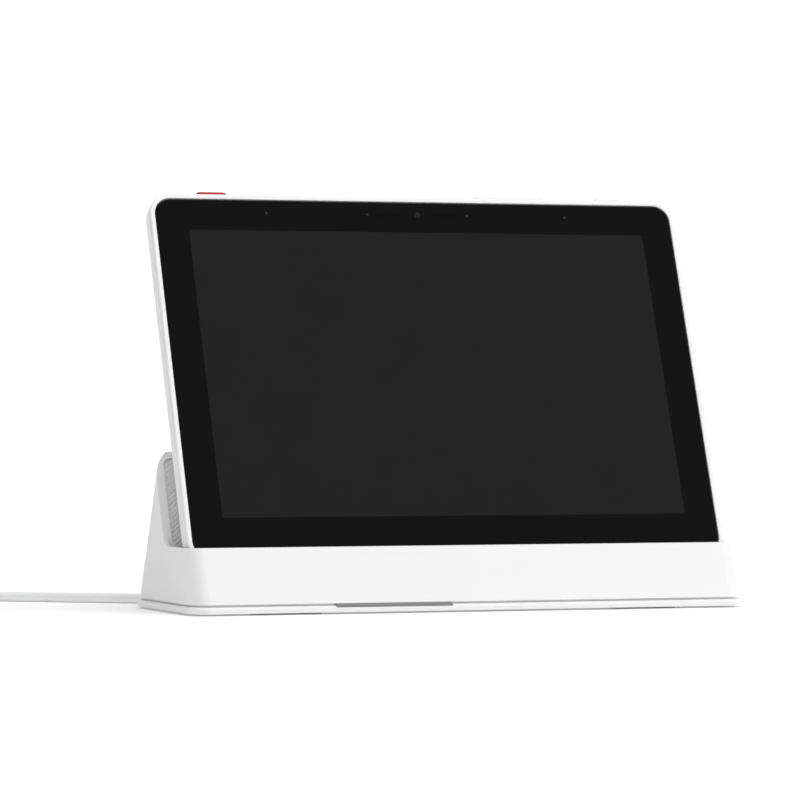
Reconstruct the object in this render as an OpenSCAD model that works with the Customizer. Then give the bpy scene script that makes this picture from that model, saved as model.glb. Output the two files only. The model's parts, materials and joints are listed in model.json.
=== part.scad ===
// Smart home hub: an 8 inch tablet-like display that leans in a wedge-shaped charging dock.
// Millimetres, +X to the right, +Y to the back, +Z up.
// The origin is on the ground under the middle of the base plate.

/* [Display] */
// Width of the hub's front frame
hub_w = 199.4; // [195:0.1:205]
// Height of the hub's front frame, along the screen
hub_h = 137.7; // [134:0.1:142]
// Lean of the screen, back from upright
tilt = 21.4; // [20:0.1:23]
// Width of the rim that shows around the glass
rim_w = 1.95; // [1.5:0.05:2.5]
// Corner radius of the glass
glass_r = 6; // [4:0.5:7]
// Depth of the hub from the glass to the rear face
hub_t = 19.2; // [18.6:0.1:19.3]
// Wall of the rear cover
cover_wall = 1.4; // [1.2:0.1:1.5]

/* [Dock] */
// Width of the base plate
base_w = 205; // [204:0.5:208]
// Depth of the base plate
base_d = 74; // [73:0.5:76]
// Height of the front lip
lip_z = 22.7; // [21:0.1:24]
// Height of the back support
support_z = 55.2; // [52:0.1:56]
// Lean of the dock's front face
front_lean = 24; // [22:0.5:25]
// Lean of the dock's back face
back_lean = 24.6; // [23:0.1:25]
// Wall of the dock's shell
shell_wall = 2.2; // [1.8:0.1:2.4]

/* [Buttons] */
// Length of the red alarm button
alarm_l = 11.3; // [9:0.1:13]
// Length of the volume rocker
volume_l = 27.1; // [24:0.1:29]
// Length of the power button
power_l = 10.8; // [9:0.1:13]
// Height of the buttons above the top edge
button_proud = 1.8; // [1:0.1:2]

/* [Cable] */
// Diameter of the cable
cord_d = 3.6; // [3.4:0.1:3.8]

/* [Hidden] */
$fn = 48;
big = 400;

// Dock
foot_h = 0.6;
plate_t = 2.5;
plate_top = foot_h + plate_t;
neck_h = 0.65;
shell_z = plate_top + neck_h;
shell_inset = 0.7;
shell_w = base_w - 2 * shell_inset;
shell_y = base_d / 2 - shell_inset;
front_r = 6.5;
back_r = 9;
top_r = 5.2;
neck_inset = 1.4;
neck_wall = 3.6;
notch_r = 5;
boss_x = 88;
boss_y = 21;

// Screen frame: u right, v up along the screen, w towards the viewer, from the lit area's centre
screen_y = 1;
screen_z = 82.9;
lit_w = 172.2;
lit_h = 107.6;
mid_v = -1.35;
top_v = mid_v + hub_h / 2;
bottom_v = mid_v - hub_h / 2;
hub_r = glass_r + rim_w;
glass_w = hub_w - 2 * rim_w;
glass_h = hub_h - 2 * rim_w - 0.3;
glass_t = 1.1;
rim_proud = 0.25;
part_w = -1;
groove = 0.35;
support_w = -19.7;
pad_w = -20.1;
pad_t = 0.9;
pad_floor_w = pad_w - pad_t;
trough_gap = 0.6;
trough_floor = bottom_v - 1.7;
liner_t = 1.4;
pad_rim = 3.1;
pad_bottom_v = -57.2;
pad_top_v = -24.4;

// Inside the hub
skirt_inset = 1.7;
skirt_wall = 1.5;
tongue_inset = 0.9;
shelf_w = -1.3;
shelf_t = 0.7;
skirt_end_w = -5;
window_w = 186;
window_top = 58.2;
window_bottom = -63.4;
window_v = (window_top + window_bottom) / 2;
window_h = window_top - window_bottom;
tray_w = 184.4;
tray_h = 119.4;
chassis_t = 0.8;
chassis_w = skirt_end_w - chassis_t;
cover_inner_w = -(hub_t - cover_wall - 0.1);
bezel_v = 60.6;
mic_u = [-56.75, -19, 19, 56.75];
sensor_u = 11.2;
boss_u = 82;
boss_v = [-52, 48];
chassis_screw_u = 94.8;
chassis_screw_v = [-50, -2, 44];
speaker_u = 70;
speaker_v = -16;
magnet_u = 54;
magnet_v = -40;

// Buttons in the top edge
alarm_u = -75.5;
volume_u = 37.4;
power_u = 75.6;
button_w = -3.2;
button_t = 3.2;
button_gap = 0.25;
flange_top = top_v - cover_wall - 0.45;
flange_t = 0.7;
switch_v = 62;

// Charging contacts
pin_w = -5.5;
pin_u = [-9, -3, 3, 9];
pin_top_v = bottom_v + 0.2;
block_top_v = bottom_v - 0.6;
block_h = 6.2;

// Socket and plug
socket_z = 8.5;
pocket_y = 33;

// Cable: from the plug's strain relief along the ground to the coil, and from the coil to the far plug
cord_r = cord_d / 2;
plug_y = 38.5;
relief_x = -29;
route = [
  [-29, 38.5, 8.5], [-33, 38.5, 8.4], [-37, 38.7, 7.6], [-41, 39.2, 6.1], [-45, 39.9, 4.4],
  [-49, 40.8, 2.9], [-53, 42, 2], [-58, 43.8, 1.8], [-64, 46.4, 1.8], [-71, 50, 1.8],
  [-78, 54.1, 1.8], [-86, 59.4, 1.8], [-94, 65.2, 1.8], [-104, 73.2, 1.8], [-114, 81.2, 1.8],
  [-124, 89.2, 1.8], [-134, 97.3, 1.8], [-143, 104.6, 2.3], [-151.1, 111.3, 2.6]
];
tail = [
  [-186, 93, 13.4], [-186, 87, 13.4], [-186, 81, 13.4], [-186, 77, 13], [-186, 73, 11.9],
  [-186, 69, 10.2], [-186, 65, 8.3], [-186, 61, 6.5], [-186, 57, 5.1], [-186, 53, 4.4],
  [-186, 50, 4.2]
];
coil_x = -166;
coil_y = 93;
coil_mean_r = 20;
coil_columns = 3;
coil_layers = 4;
tie_t = 0.8;
tie_w = 9;
tie_angle = 285;
far_z = 4.2;
far_y = 50;

// A rectangle with round corners, about the origin
module round_rect(w, h, r) {
  square([w - 2 * r, h], center = true);
  square([w, h - 2 * r], center = true);
  for (x = [-1, 1], y = [-1, 1])
    translate([x * (w / 2 - r), y * (h / 2 - r)]) circle(r);
}

module round_plate(w, h, t, r) {
  linear_extrude(t) round_rect(w, h, r);
}

// A block about the origin in x and y, from z = 0 up
module block(w, h, t) {
  translate([-w / 2, -h / 2, 0]) cube([w, h, t]);
}

// Places its children in the screen's frame
module on_screen(u = 0, v = 0, w = 0) {
  translate([0, screen_y, screen_z])
    rotate([90 - tilt, 0, 0])
      translate([u, v, w]) children();
}

// A plate in the screen's frame, between two depths
module screen_plate(u, v, low_w, high_w, width, height, r) {
  on_screen(u, v, low_w) round_plate(width, height, high_w - low_w, r);
}

// A cylinder along the screen's up direction, from low_v up
module up_screen(u, low_v, w, r, h) {
  on_screen(u, low_v, w) rotate([-90, 0, 0]) cylinder(r = r, h = h);
}

// y and z of a point of the screen's frame
function screen_yz(v, w) = [
  screen_y + v * sin(tilt) - w * cos(tilt),
  screen_z + v * cos(tilt) + w * sin(tilt)
];

// Extrudes an outline in y and z along x, centred
module along_x(width) {
  translate([-width / 2, 0, 0]) rotate([90, 0, 90]) linear_extrude(width) children();
}

// y of the dock's front and back faces at height z, with the wall left inside by inset
function front_y(z, inset) = -shell_y + (z - shell_z) * tan(front_lean) + inset / cos(front_lean);
function back_y(z, inset) = shell_y - (z - shell_z) * tan(back_lean) - inset / cos(back_lean);

// The dock's wedge from the ground to its top, before the notch is cut
module wedge_outline(inset, top) {
  polygon([
    [front_y(0, inset), 0],
    [back_y(0, inset), 0],
    [back_y(top, inset), top],
    [front_y(top, inset), top]
  ]);
}

// The open space over the lip and before the support, with its inner corner rounded
module notch_outline(inset) {
  face = support_w - inset;
  floor_z = lip_z - inset;
  corner_v = (floor_z - screen_z - face * sin(tilt)) / cos(tilt);
  corner = screen_yz(corner_v, face);
  tangent = notch_r * tan((90 - tilt) / 2);
  rise = screen_yz(corner_v + tangent, face);
  centre = [corner[0] - tangent, floor_z + notch_r];
  far = screen_yz(120, face);
  difference() {
    polygon([corner, far, [-big, far[1]], [-big, floor_z]]);
    if (inset == 0)
      polygon([[corner[0] - tangent, floor_z - 1], [corner[0] + 1, floor_z - 1], rise + [1, 0], rise, centre]);
  }
  if (inset == 0) translate(centre) circle(notch_r);
}

// A tall prism that leans by lean, whose near face has round upright corners
module leaning_prism(width, r, lean) {
  rotate([-lean, 0, 0]) translate([0, 0, -60]) linear_extrude(200) {
    translate([-width / 2, r]) square([width, 200]);
    translate([-width / 2 + r, 0]) square([width - 2 * r, 200]);
    for (x = [-1, 1]) translate([x * (width / 2 - r), r]) circle(r);
  }
}

// The dock's outer form, or its hollow when inset is the wall
module dock_form(inset) {
  width = shell_w - 2 * inset;
  top = support_z - inset;
  low = inset > 0 ? -1 : shell_z;
  intersection() {
    along_x(width) difference() {
      wedge_outline(inset, top + 20);
      notch_outline(inset);
    }
    translate([0, front_y(shell_z, inset), shell_z]) leaning_prism(width, front_r - inset, front_lean);
    translate([0, back_y(shell_z, inset), shell_z]) mirror([0, 1, 0])
      leaning_prism(width, back_r - inset, back_lean);
    translate([0, 60, 0]) rotate([90, 0, 0]) linear_extrude(120) {
      translate([-width / 2, low]) square([width, top - top_r - low]);
      translate([-width / 2 + top_r, low]) square([width - 2 * top_r, top - low]);
      for (x = [-1, 1]) translate([x * (width / 2 - top_r), top - top_r]) circle(top_r);
    }
  }
}

// Cross-section of the trough that the hub stands in, v across and w up, grown by grow
module trough_outline(grow) {
  polygon([
    [trough_floor - grow, rim_proud + trough_gap + grow],
    [trough_floor - grow, -10.5],
    [trough_floor + 4 - grow, -15 - grow],
    [trough_floor + 12, support_w - 0.05 - grow],
    [trough_floor + 70, support_w - 0.05 - grow],
    [trough_floor + 70, rim_proud + trough_gap + grow]
  ]);
}

module trough(width, grow) {
  on_screen() translate([-width / 2, 0, 0])
    rotate([90, 0, 90]) linear_extrude(width) trough_outline(grow);
}

module dock_shell() color("white") {
  difference() {
    dock_form(0);
    trough(hub_w + 2 * trough_gap, 0);
    // recess for the pad
    screen_plate(0, (pad_bottom_v + pad_top_v) / 2, pad_floor_w, pad_floor_w + 3,
      shell_w - 2 * pad_rim, pad_top_v - pad_bottom_v, 3);
    // hollow, with the trough's walls, the pad's backing and the screw posts left standing
    difference() {
      dock_form(shell_wall);
      trough(big, shell_wall);
      on_screen(-big / 2, pad_bottom_v - 2, pad_floor_w - 1.6) cube([big, 120, 40]);
      for (x = [-1, 1], y = [-1, 1])
        translate([x * boss_x, y * boss_y, 0]) cylinder(r = 3.4, h = 60);
    }
    for (x = [-1, 1], y = [-1, 1])
      translate([x * boss_x, y * boss_y, 0]) cylinder(r = 1.25, h = shell_z + 6);
    // opening for the contact block
    on_screen(0, trough_floor - 6, pin_w - 3.7) block_opening();
    // pocket and mouth of the socket
    translate([-15, pocket_y, socket_z - 3.8]) cube([23, 10, 7.6]);
    translate([-4.9, pocket_y - 5, socket_z - 1.95]) cube([9.8, 10, 3.9]);
  }
}

module block_opening() {
  translate([-14.2, 0, 0]) cube([28.4, 12, 7.4]);
}

module base_plate() color("white") {
  difference() {
    union() {
      translate([0, 0, foot_h]) plate_outline(0, plate_t);
      translate([0, 0, plate_top - 0.01]) difference() {
        plate_outline(shell_inset + neck_inset, neck_h + 0.01);
        translate([0, 0, -1]) plate_outline(shell_inset + neck_inset + neck_wall, 4);
      }
      for (x = [-20, 20], y = [10, 29]) translate([x, y, foot_h + 1]) cylinder(r = 2.4, h = 3.6);
      for (x = [-1, 1], y = [-1, 1])
        translate([x * boss_x, y * boss_y, foot_h + 1]) cylinder(r = 3.4, h = shell_z - foot_h - 1.05);
    }
    for (x = [-20, 20], y = [10, 29]) translate([x, y, foot_h + 1.2]) cylinder(r = 0.85, h = 5);
    for (x = [-1, 1], y = [-1, 1]) translate([x * boss_x, y * boss_y, 0]) {
      cylinder(r = 1.5, h = 10);
      cylinder(r = 2.9, h = foot_h + 1.5);
    }
    foot_shapes(0, 1.2, 0.15);
    // slot for the light window
    translate([-51, -base_d / 2 - 1, plate_top - 0.75]) cube([42.4, 6.2, 4]);
  }
}

// The plate's outline, pulled in by inset
module plate_outline(inset, t) {
  w = base_w - 2 * inset;
  d = base_d - 2 * inset;
  fr = max(front_r + 0.5 - inset, 2);
  br = max(back_r - inset, 2);
  linear_extrude(t) {
    translate([-w / 2, -d / 2 + fr]) square([w, d - fr - br]);
    translate([-w / 2 + fr, -d / 2]) square([w - 2 * fr, d / 2]);
    translate([-w / 2 + br, 0]) square([w - 2 * br, d / 2]);
    for (x = [-1, 1]) {
      translate([x * (w / 2 - fr), -d / 2 + fr]) circle(fr);
      translate([x * (w / 2 - br), d / 2 - br]) circle(br);
    }
  }
}

module foot_shapes(low, t, grow) {
  for (x = [-66, 66], y = [-26, 26])
    translate([x, y, low]) round_plate(26 + 2 * grow, 9 + 2 * grow, t, 4.5 + grow - 0.01);
}

module feet() color("dimgray") foot_shapes(0, 1.15, 0);

module backrest_pad() color("gainsboro") {
  gap = 0.25;
  screen_plate(0, (pad_bottom_v + pad_top_v) / 2, pad_floor_w + 0.02, pad_w,
    shell_w - 2 * pad_rim - 2 * gap, pad_top_v - pad_bottom_v - 2 * gap, 3 - gap);
}

module cradle_liner() color("gainsboro") {
  difference() {
    on_screen(0, trough_floor + 0.02, -5.2) rotate([-90, 0, 0])
      round_plate(196, 9, liner_t - 0.1, 2);
    on_screen(0, trough_floor - 6, pin_w - 3.7) block_opening();
  }
}

module contact_block() color("dimgray") {
  difference() {
    on_screen(0, block_top_v - block_h, pin_w) rotate([-90, 0, 0]) union() {
      round_plate(28, 7, block_h, 1.5);
      round_plate(31, 9, 2, 1.5);
    }
    for (u = pin_u) up_screen(u, block_top_v - block_h - 1, pin_w, 1.4, block_h + 2);
  }
}

module contact_barrels() color("goldenrod") {
  for (u = pin_u) difference() {
    up_screen(u, block_top_v - block_h, pin_w, 1.4, block_h);
    up_screen(u, block_top_v - 1, pin_w, 0.85, 2);
    up_screen(u, block_top_v - block_h + 0.6, pin_w, 1.1, block_h - 1.4);
  }
}

module contact_pins() color("gold") {
  for (u = pin_u) {
    up_screen(u, block_top_v - 2.2, pin_w, 0.8, pin_top_v - 0.5 - block_top_v + 2.2);
    up_screen(u, block_top_v - 2.1, pin_w, 1.04, 1.1);
    on_screen(u, pin_top_v - 0.5, pin_w) rotate([-90, 0, 0]) cylinder(r1 = 0.8, r2 = 0.4, h = 0.5);
  }
}

// A wire swept along a rising helix
module helix(r, wire, rise, turns) {
  n = 8;
  sides = 4;
  steps = n * turns;
  rings = [for (i = [0:steps]) let (a = 360 * i / n, z = wire + (rise - 2 * wire) * i / steps)
    [for (k = [0:sides - 1]) let (b = -360 * k / sides)
      [(r + wire * cos(b)) * cos(a), (r + wire * cos(b)) * sin(a), z + wire * sin(b)]]];
  tube_mesh(rings, sides);
}

// Joins rings of points into a closed tube
module tube_mesh(rings, sides) {
  last = len(rings) - 1;
  polyhedron(
    [for (ring = rings, p = ring) p],
    concat(
      [[for (k = [0:sides - 1]) k]],
      [for (i = [0:last - 1], k = [0:sides - 1])
        [i * sides + k, (i + 1) * sides + k, (i + 1) * sides + (k + 1) % sides, i * sides + (k + 1) % sides]],
      [[for (k = [0:sides - 1]) last * sides + sides - 1 - k]]
    )
  );
}

module pin_springs() color("silver") {
  for (u = pin_u)
    on_screen(u, block_top_v - block_h + 0.65, pin_w) rotate([-90, 0, 0]) helix(0.8, 0.14, 3.3, 4);
}

module contact_flex() color("peru") {
  on_screen(0, block_top_v - block_h - 0.35, pin_w) rotate([-90, 0, 0]) round_plate(26, 7, 0.3, 1);
}

module dock_board() color("darkgreen") {
  difference() {
    translate([0, 19.5, 5.25]) round_plate(48, 25, 1.5, 1.5);
    for (x = [-20, 20], y = [10, 29]) translate([x, y, 4]) cylinder(r = 1.1, h = 4);
  }
}

module board_screws() color("silver") {
  for (x = [-20, 20], y = [10, 29]) translate([x, y, 0]) {
    translate([0, 0, 2.4]) cylinder(r = 0.8, h = 4.4);
    translate([0, 0, 6.8]) cylinder(r = 1.7, h = 0.9);
  }
}

module usb_socket() color("silver") {
  translate([0, pocket_y - 0.1, socket_z]) rotate([90, 0, 0]) difference() {
    round_plate(9.4, 3.4, 7.4, 1.3);
    translate([0, 0, -1]) round_plate(8.6, 2.7, 7.6, 1.2);
  }
}

module light_window() color("dimgray") {
  translate([-50.85, -base_d / 2 + 0.9, plate_top - 0.65]) cube([42.1, 2.1, neck_h + 0.6]);
}

module light_board() color("darkgreen") {
  translate([-50, -base_d / 2 + 3.4, plate_top - 0.6]) cube([40.4, 1, neck_h + 0.5]);
}

module ballast_plates() color("gray") {
  for (x = [-1, 1]) translate([x * 56, -3, plate_top + 0.05]) round_plate(50, 44, 4.8, 3);
}

module dock_magnets() color("silver") {
  for (u = [-1, 1])
    on_screen(u * magnet_u, magnet_v, pad_floor_w - 1.7 - 2) cylinder(r = 6, h = 1.98);
}

module base_screws() color("silver") {
  for (x = [-1, 1], y = [-1, 1]) translate([x * boss_x, y * boss_y, 0]) {
    translate([0, 0, foot_h + 1.5]) cylinder(r = 1.2, h = 6.5);
    translate([0, 0, foot_h + 0.2]) cylinder(r = 2.6, h = 1.3);
  }
}

// Hub
module front_frame() color("white") {
  difference() {
    union() {
      screen_plate(0, mid_v, part_w, rim_proud, hub_w, hub_h, hub_r);
      // tongue that backs the parting line
      screen_plate(0, mid_v, shelf_w, part_w + 0.1, hub_w - 2 * tongue_inset, hub_h - 2 * tongue_inset,
        hub_r - tongue_inset);
      difference() {
        screen_plate(0, mid_v, skirt_end_w, part_w, hub_w - 2 * skirt_inset,
          hub_h - 2 * skirt_inset, hub_r - skirt_inset);
        screen_plate(0, mid_v, skirt_end_w - 1, shelf_w - shelf_t, hub_w - 2 * skirt_inset - 2 * skirt_wall,
          hub_h - 2 * skirt_inset - 2 * skirt_wall, hub_r - skirt_inset - skirt_wall);
      }
      for (u = [-1, 1], v = chassis_screw_v)
        on_screen(u * chassis_screw_u, v, skirt_end_w) block(3.6, 8, 3.4);
    }
    screen_plate(0, mid_v, -glass_t - 0.01, 3, glass_w + 0.2, glass_h + 0.2, glass_r + 0.1);
    screen_plate(0, mid_v, shelf_w, 3, glass_w - 1.2, glass_h - 1.2, glass_r - 0.6);
    screen_plate(0, window_v, -9, 2, window_w, window_h, 3);
    for (u = mic_u) on_screen(u, bezel_v, -3) cylinder(r = 0.8, h = 4);
    on_screen(0, bezel_v, -3) cylinder(r = 2.8, h = 4);
    for (u = [-1, 1]) on_screen(u * sensor_u - 5.5, bezel_v - 1.5, -3) cube([11, 3, 4]);
    for (u = [-1, 1], v = chassis_screw_v) on_screen(u * chassis_screw_u, v, -8) cylinder(r = 0.55, h = 5.6);
    button_room(alarm_u, alarm_l);
    button_room(volume_u, volume_l);
    button_room(power_u, power_l);
    pad_room();
  }
}

// Space that a button's flange and stem need inside the frame's skirt
module button_room(u, length) {
  low = switch_v - 1.2;
  on_screen(u - length / 2 - 1.8, low, -6) cube([length + 3.6, flange_top + 0.8 - low, shelf_w + 6]);
}

// Space for the charging pads in the hub's lower edge
module pad_room() {
  on_screen(-14, bottom_v - 1, pin_w - 2.1) cube([28, 4.8, 4.2]);
}

module cover_glass() color("black") {
  difference() {
    screen_plate(0, mid_v, -glass_t, 0, glass_w, glass_h, glass_r);
    for (u = mic_u) on_screen(u, bezel_v, -3) cylinder(r = 0.5, h = 4);
  }
}

module glass_adhesive() color("dimgray") {
  difference() {
    screen_plate(0, mid_v, shelf_w + 0.01, -glass_t - 0.01, glass_w - 1.5, glass_h - 1.5, glass_r - 0.7);
    screen_plate(0, mid_v, -3, 0, glass_w - 4.3, glass_h - 4.3, glass_r - 2);
  }
}

module screen_panel() color("dimgray") {
  screen_plate(0, window_v, -3.6, -1.15, tray_w - 1.2, tray_h - 1.2, 1.4);
}

module screen_tray() color("silver") {
  difference() {
    screen_plate(0, window_v, -4.1, -1.6, tray_w, tray_h, 2);
    screen_plate(0, window_v, -3.65, 0, tray_w - 1, tray_h - 1, 1.5);
    on_screen(-20, window_v - tray_h / 2 - 1, -3.64) cube([40, 3, 4]);
  }
}

module panel_flex() color("peru") {
  on_screen(-17, window_v - tray_h / 2 - 0.45, -6.4) cube([34, 0.2, 4.6]);
  on_screen(-17, window_v - tray_h / 2 - 0.25, -6.4) cube([34, 8, 0.2]);
}

module chassis_plate() color("lightgray") {
  difference() {
    union() {
      screen_plate(0, mid_v, chassis_w, skirt_end_w, hub_w - 2 * skirt_inset - 0.8,
        hub_h - 2 * skirt_inset - 0.8, hub_r - skirt_inset - 0.4);
      for (u = [-1, 1], v = boss_v) on_screen(u * boss_u, v, -9) cylinder(r = 2.3, h = 3.3);
    }
    for (u = [-1, 1], v = boss_v) on_screen(u * boss_u, v, -10) cylinder(r = 1, h = 6);
    for (u = [-1, 1], v = chassis_screw_v) on_screen(u * chassis_screw_u, v, -7) cylinder(r = 0.75, h = 3);
    // slot for the panel's flex, and the lower edge's charging pads
    on_screen(-18, window_v - tray_h / 2 - 1.2, -7) cube([36, 1.8, 3]);
    on_screen(-15, bottom_v, -7) cube([30, 5.2, 3]);
    for (side = [[alarm_u, alarm_l], [volume_u, volume_l], [power_u, power_l]])
      on_screen(side[0] - side[1] / 2 - 2, switch_v - 1.4, -7) cube([side[1] + 4, 8, 3]);
  }
}

module chassis_screws() color("silver") {
  for (u = [-1, 1], v = chassis_screw_v) {
    on_screen(u * chassis_screw_u, v, chassis_w - 0.05) cylinder(r = 0.5, h = 3.2);
    on_screen(u * chassis_screw_u, v, chassis_w - 0.65) cylinder(r = 1.3, h = 0.6);
  }
}

module camera_module() color("dimgray") {
  on_screen(0, bezel_v, -4.9) round_plate(7.6, 6.8, 2.7, 0.6);
  on_screen(0, bezel_v, -2.3) difference() {
    cylinder(r = 2.6, h = 1.1);
    translate([0, 0, 0.4]) cylinder(r = 1.2, h = 2);
  }
}

module camera_lens() color("darkslategray") {
  on_screen(0, bezel_v, -1.85) cylinder(r = 1.15, h = 0.6);
}

module sensor_windows() color("darkslategray") {
  for (u = [-1, 1]) on_screen(u * sensor_u, bezel_v, -2.3) round_plate(10, 2.2, 1.1, 1.05);
}

module microphones() color("silver") {
  for (u = mic_u) on_screen(u, bezel_v, -3.1) difference() {
    block(3.8, 3, 1);
    translate([0, 0, 0.5]) cylinder(r = 0.4, h = 2);
  }
}

module mic_boards() color("darkgreen") {
  for (u = mic_u) screen_plate(u, bezel_v, -3.5, -3.12, 8, 4, 1);
}

module main_board() color("darkgreen") {
  screen_plate(30, 35, -7.7, -6.5, 92, 34, 2);
}

module board_shields() color("silver") {
  for (at = [[6, 38, 34, 22], [48, 32, 30, 20]])
    on_screen(at[0], at[1], -9.7) difference() {
      round_plate(at[2], at[3], 1.98, 1);
      translate([0, 0, 0.2]) round_plate(at[2] - 0.4, at[3] - 0.4, 3, 0.8);
    }
}

module radio_board() color("darkgreen") {
  screen_plate(-50, 36, -7.7, -6.7, 48, 30, 2);
}

module battery() color("dimgray") {
  screen_plate(0, -20, -12.6, -6.1, 104, 60, 2.5);
}

module speaker_boxes() color("dimgray") {
  for (u = [-1, 1]) on_screen(u * speaker_u, speaker_v, -14.8) difference() {
    round_plate(32, 58, 8.7, 3);
    translate([0, 0, 1.5]) round_plate(29, 55, 5.7, 1.5);
    translate([0, 0, -1]) cylinder(r = 11, h = 3);
  }
}

module speaker_drivers() color("silver") {
  for (u = [-1, 1]) on_screen(u * speaker_u, speaker_v, 0) {
    translate([0, 0, -16.5]) difference() {
      cylinder(r = 13, h = 1.68);
      translate([0, 0, -1]) cylinder(r1 = 12.4, r2 = 8, h = 2.1);
    }
    translate([0, 0, -14.9]) cylinder(r = 7.5, h = 4);
  }
}

module speaker_meshes() color("darkgray") {
  for (u = [-1, 1]) on_screen(u * speaker_u, speaker_v, cover_inner_w + 0.05) cylinder(r = 13, h = 0.2);
}

module antennas() color("peru") {
  for (u = [-44, 22]) on_screen(u, 46, cover_inner_w + 0.05) block(36, 7, 0.2);
}

module button_boards() color("darkgreen") {
  for (side = [[alarm_u, alarm_l], [volume_u, volume_l], [power_u, power_l]])
    on_screen(side[0], switch_v - 0.9, button_w) rotate([-90, 0, 0]) block(side[1], 2.8, 0.8);
}

module button_switches() color("silver") {
  for (u = [alarm_u, volume_u - 9, volume_u + 9, power_u])
    on_screen(u, switch_v - 0.1, button_w) rotate([-90, 0, 0]) block(3.4, 2.6, 0.9);
}

module pad_holder() color("dimgray") {
  difference() {
    on_screen(-13.8, bottom_v + 2.2, pin_w - 1.9) cube([27.6, 1.1, 3.8]);
    for (u = pin_u) on_screen(u - 2, bottom_v + 1, pin_w - 1.3) cube([4, 1.75, 2.6]);
  }
}

module charging_pads() color("gold") {
  for (u = pin_u) on_screen(u - 1.95, bottom_v + 0.3, pin_w - 1.25) cube([3.9, 2.4, 2.5]);
}

module hub_magnets() color("silver") {
  for (u = [-1, 1])
    on_screen(u * magnet_u, magnet_v, cover_inner_w + 0.05) cylinder(r = 6, h = 2);
}

// Half-width lost by the rear cover at depth w: a straight side, then a round shoulder
shoulder_w = -3.5;
shoulder_in = 16;
function shoulder(w) =
  w > shoulder_w ? 0.02 * (part_w - w)
  : 0.02 * (part_w - shoulder_w) + shoulder_in * (1 - sqrt(max(0, 1 - pow((w - shoulder_w) / (-hub_t - shoulder_w), 2))));

// A ring of points round the hub's outline at depth w, pulled in by a wall and by the shoulder
function outline_ring(wall, drawn_in, w, n) = [
  for (corner = [0:3], i = [0:n])
    let (
      inset = wall + drawn_in,
      r = max(hub_r - wall - drawn_in * 0.45, 2.5),
      a = 90 * corner + 90 * i / n,
      cu = (corner == 0 || corner == 3 ? 1 : -1) * (hub_w / 2 - inset - r),
      cv = (corner < 2 ? 1 : -1) * (hub_h / 2 - inset - r)
    )
    [cu + r * cos(a), cv + r * sin(a), w]
];

// The rear cover's solid form, pulled in by inset, from depth rear up to depth front
module cover_form(inset, rear, front) {
  steps = 10;
  n = 8;
  depths = concat(
    [for (i = [steps:-1:1]) shoulder_w + (rear - shoulder_w) * sin(90 * i / steps)],
    [shoulder_w, front]
  );
  rings = [for (w = depths)
    let (at = w > shoulder_w ? w : shoulder_w + (w - shoulder_w) * (-hub_t - shoulder_w) / (rear - shoulder_w))
    outline_ring(inset, shoulder(at), w, n)];
  on_screen(0, mid_v, 0) tube_mesh(rings, 4 * (n + 1));
}

module rear_cover() color("white") {
  difference() {
    union() {
      difference() {
        cover_form(0, -hub_t, part_w - groove);
        cover_form(cover_wall, cover_inner_w, 1);
      }
      for (u = [-1, 1], v = boss_v) on_screen(u * boss_u, v, cover_inner_w - 0.8) cylinder(r = 3.6, h = 8.8);
    }
    for (u = [-1, 1], v = boss_v) on_screen(u * boss_u, v, -30) {
      cylinder(r = 1.15, h = 30);
      cylinder(r = 3, h = 14.6);
    }
    cover_slot(alarm_u, alarm_l);
    cover_slot(volume_u, volume_l);
    cover_slot(power_u, power_l);
    for (u = pin_u) on_screen(u - 2.2, bottom_v - 1, pin_w - 1.5) cube([4.4, 4, 3]);
    // rows of sound slots
    for (u = [-1, 1], row = [-4:4]) {
      half = 11 * sqrt(1 - pow(row / 5, 2));
      on_screen(u * speaker_u - half, speaker_v + row * 2.4 - 0.5, -30) cube([2 * half, 1, 14]);
    }
  }
}

// Slot for a button in the top edge, open towards the front frame
module cover_slot(u, length) {
  on_screen(u, top_v - 5, button_w - button_t / 2 - button_gap)
    translate([-length / 2 - button_gap, 0, 0]) cube([length + 2 * button_gap, 8, 4]);
}

module cover_screws() color("silver") {
  for (u = [-1, 1], v = boss_v) {
    on_screen(u * boss_u, v, -15.5) cylinder(r = 0.95, h = 9.3);
    on_screen(u * boss_u, v, -16.9) cylinder(r = 2.6, h = 1.45);
  }
}

module screw_caps() color("gainsboro") {
  for (u = [-1, 1], v = boss_v) on_screen(u * boss_u, v, -hub_t + 0.2) cylinder(r = 2.9, h = 1.8);
}

// A button for the top edge: its cap over the slot, and inside a flange that keeps it in and a stem
module edge_button(u, length, stems) {
  cap_r = 1.2;
  low = flange_top;
  on_screen(u, low - 0.2, button_w) rotate([-90, 0, 0])
    round_plate(length, button_t, top_v + button_proud - low - 0.6, cap_r);
  on_screen(u, top_v + button_proud - 0.81, button_w) rotate([-90, 0, 0])
    hull() {
      round_plate(length, button_t, 0.1, cap_r);
      round_plate(length - 1.2, button_t - 1.2, 0.8, cap_r - 0.6);
    }
  on_screen(u, low - flange_t, button_w) rotate([-90, 0, 0]) block(length + 2, 2.4, flange_t);
  for (du = stems) on_screen(u + du, low - flange_t - 1.25, button_w) rotate([-90, 0, 0]) block(2.4, 2, 1.4);
}

module alarm_button() color("crimson") {
  edge_button(alarm_u, alarm_l, [0]);
}

module volume_rocker() color("white") {
  edge_button(volume_u, volume_l, [-9, 9]);
}

module power_button() color("white") {
  edge_button(power_u, power_l, [0]);
}

// Cable
module plug_shell() color("silver") {
  translate([0, pocket_y + 0.3, socket_z]) rotate([90, 0, 0]) difference() {
    round_plate(8.3, 2.45, 6.3, 1.15);
    translate([0, 0, 1]) round_plate(7.7, 1.85, 7, 0.9);
  }
}

module plug_grip() color("white") {
  translate([-3.5, pocket_y + 11.3, socket_z]) rotate([90, 0, 0]) round_plate(20.6, 6.8, 11, 3.2);
}

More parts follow.
